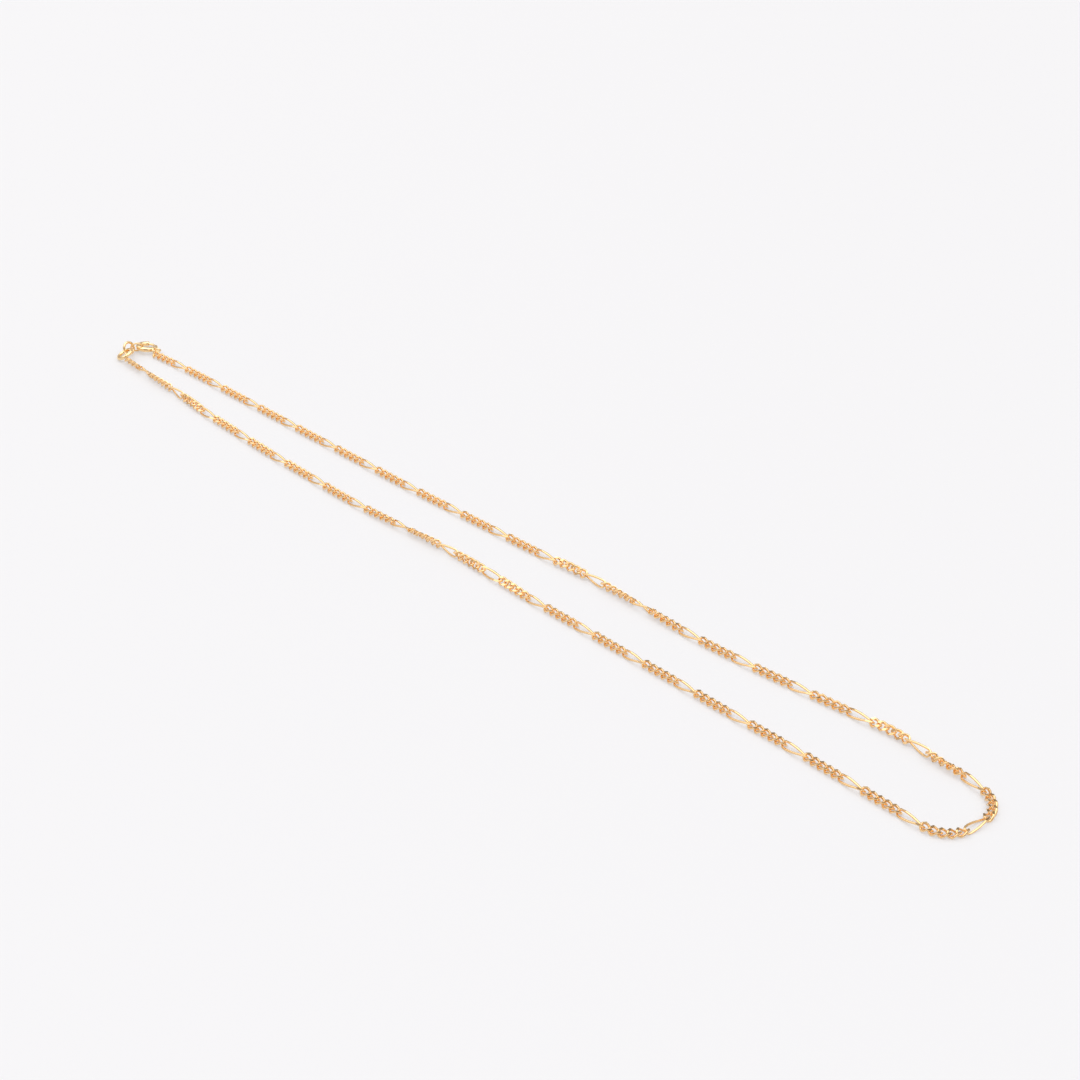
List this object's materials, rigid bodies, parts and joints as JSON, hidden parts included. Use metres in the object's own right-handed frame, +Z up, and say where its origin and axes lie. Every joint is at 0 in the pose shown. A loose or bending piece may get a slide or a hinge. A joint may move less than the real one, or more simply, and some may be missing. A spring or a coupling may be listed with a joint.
{
  "type": "figaro chain necklace",
  "caption": "Fine gold figaro chain with a bolt ring clasp, fastened and laid double on a flat surface.",
  "frame": {"origin": "centre of the necklace's bounding box, on the surface it lies on", "axes": "+X along the strands from the clasp to the turn, +Y towards the far strand, +Z up from the surface"},
  "size_m": [0.244, 0.019, 0.0032],
  "materials": {
    "gold": "polished yellow gold"
  },
  "bodies": {
    "necklace": {"far_strand": "gold", "near_strand": "gold", "bolt_ring_case": "gold", "eye_jump_ring": "gold", "bolt_jump_ring": "gold", "small_end_ring": "gold", "large_end_ring": "gold", "end_jump_ring": "gold"},
    "bolt": {"bolt_ring_bolt": "gold"}
  },
  "joints": [
    {"name": "bolt_slide", "type": "hinge", "parent": "necklace", "child": "bolt", "pos_m": [-0.1195, 0.0044, 0.0009], "axis": [-0.0287, 0.1625, 0.9863], "range_deg": [0, 54], "stiffness_Nm_per_rad": 0.0002, "springref_deg": -17.19}
  ]
}
